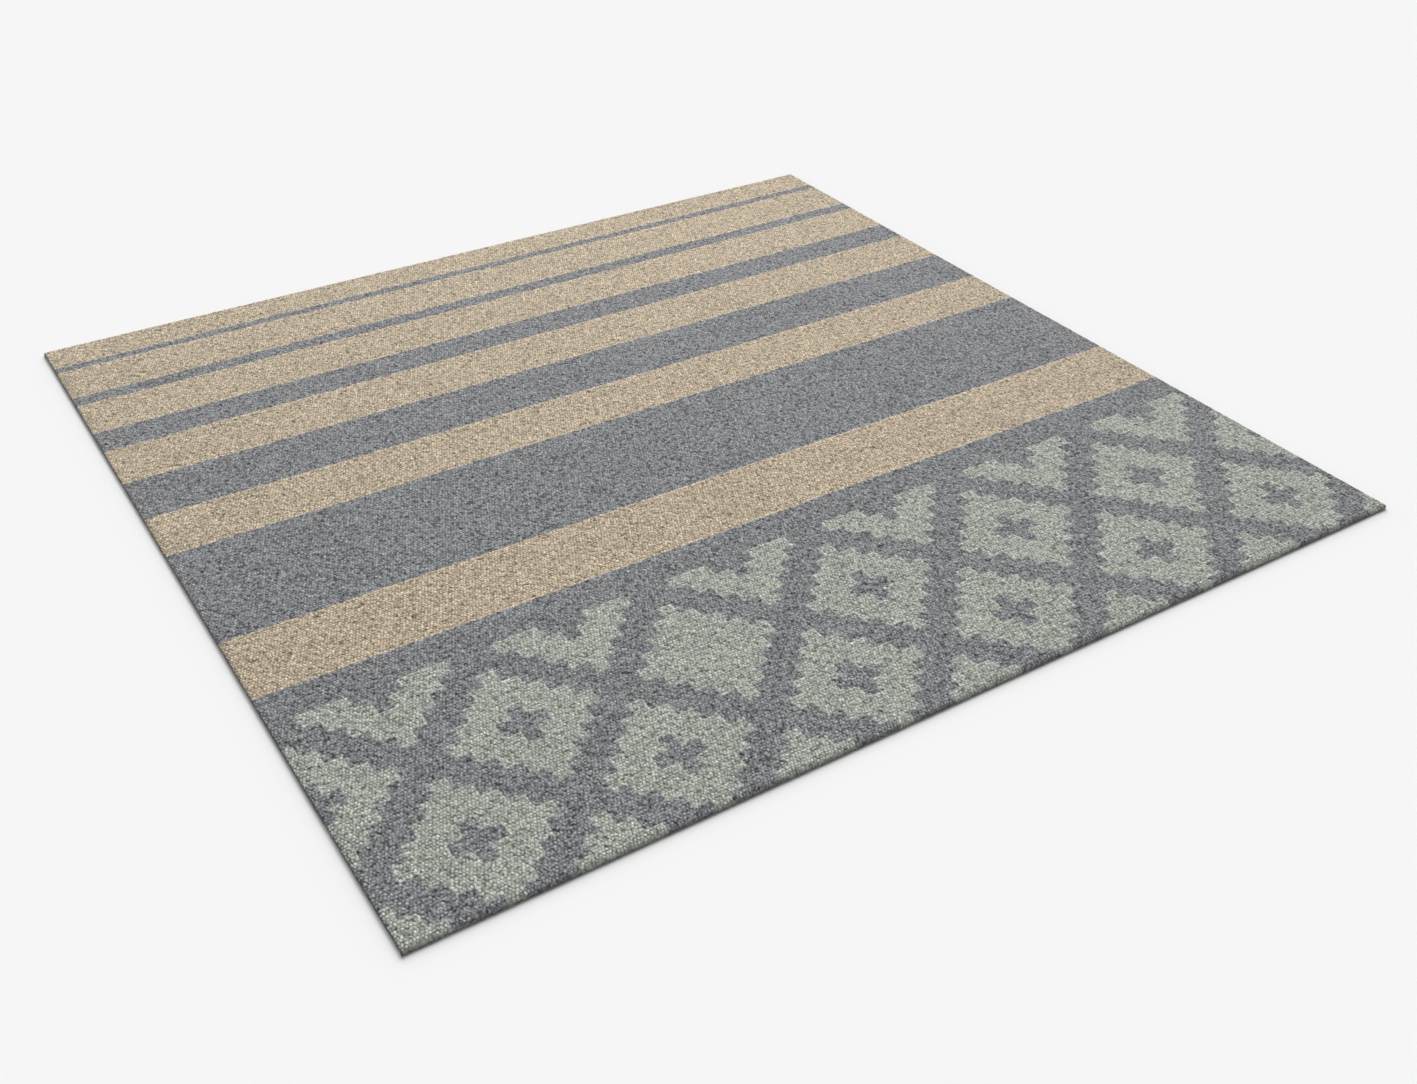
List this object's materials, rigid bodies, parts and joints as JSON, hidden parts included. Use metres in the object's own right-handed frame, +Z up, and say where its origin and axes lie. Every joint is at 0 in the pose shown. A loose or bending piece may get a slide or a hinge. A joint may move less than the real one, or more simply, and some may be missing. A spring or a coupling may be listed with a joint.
{
  "type": "area rug",
  "caption": "Flat-lying tufted wool area rug, nearly square, with beige and grey stripes of uneven width and a band of stepped sage diamonds on a grey ground at one end.",
  "frame": {"origin": "on the floor under the middle of the rug: the middle of the bounding box's underside", "axes": "+X along the stripes, +Y across the stripes towards the beige end (the diamond band is at the -Y end), +Z up out of the pile"},
  "size_m": [2.4, 2.35, 0.014],
  "materials": {
    "beige_wool": "matte short twisted wool pile, sandy beige with lighter and darker tufts",
    "grey_wool": "matte short twisted wool pile, mid grey with lighter and darker tufts",
    "sage_wool": "matte short twisted wool pile, pale sage green with lighter and darker tufts",
    "tufting_cloth": "matte plain-woven undyed cotton",
    "latex": "dull cream dried latex",
    "canvas": "matte plain-woven undyed cotton canvas",
    "binding_tape": "matte herringbone cotton tape"
  },
  "bodies": {
    "root": {"beige_pile_stripe_1": "beige_wool", "beige_pile_stripe_2": "beige_wool", "beige_pile_stripe_3": "beige_wool", "beige_pile_stripe_4": "beige_wool", "beige_pile_stripe_5": "beige_wool", "beige_pile_stripe_6": "beige_wool", "binding_tape_back": "binding_tape", "binding_tape_front": "binding_tape", "binding_tape_left": "binding_tape", "binding_tape_right": "binding_tape", "canvas_backing": "canvas", "grey_pile_cross_front_1": "grey_wool", "grey_pile_cross_front_2": "grey_wool", "grey_pile_cross_front_3": "grey_wool", "grey_pile_cross_front_4": "grey_wool", "grey_pile_cross_front_5": "grey_wool", "grey_pile_cross_front_6": "grey_wool", "grey_pile_cross_middle_1": "grey_wool", "grey_pile_cross_middle_2": "grey_wool", "grey_pile_cross_middle_4": "grey_wool", "grey_pile_cross_middle_5": "grey_wool", "grey_pile_cross_middle_6": "grey_wool", "grey_pile_cross_middle_7": "grey_wool", "grey_pile_ground": "grey_wool", "grey_pile_stripe_1": "grey_wool", "grey_pile_stripe_2": "grey_wool", "grey_pile_stripe_3": "grey_wool", "grey_pile_stripe_4": "grey_wool", "grey_pile_stripe_5": "grey_wool", "latex_adhesive": "latex", "sage_pile_diamond_back_1": "sage_wool", "sage_pile_diamond_back_2": "sage_wool", "sage_pile_diamond_back_3": "sage_wool", "sage_pile_diamond_back_4": "sage_wool", "sage_pile_diamond_back_5": "sage_wool", "sage_pile_diamond_back_6": "sage_wool", "sage_pile_diamond_front_1": "sage_wool", "sage_pile_diamond_front_2": "sage_wool", "sage_pile_diamond_front_3": "sage_wool", "sage_pile_diamond_front_4": "sage_wool", "sage_pile_diamond_front_5": "sage_wool", "sage_pile_diamond_front_6": "sage_wool", "sage_pile_diamond_front_edge_1": "sage_wool", "sage_pile_diamond_front_edge_2": "sage_wool", "sage_pile_diamond_front_edge_3": "sage_wool", "sage_pile_diamond_front_edge_4": "sage_wool", "sage_pile_diamond_front_edge_5": "sage_wool", "sage_pile_diamond_front_edge_6": "sage_wool", "sage_pile_diamond_front_edge_7": "sage_wool", "sage_pile_diamond_middle_1": "sage_wool", "sage_pile_diamond_middle_2": "sage_wool", "sage_pile_diamond_middle_3": "sage_wool", "sage_pile_diamond_middle_4": "sage_wool", "sage_pile_diamond_middle_5": "sage_wool", "sage_pile_diamond_middle_6": "sage_wool", "sage_pile_diamond_middle_7": "sage_wool", "tufting_cloth": "tufting_cloth"}
  },
  "joints": []
}
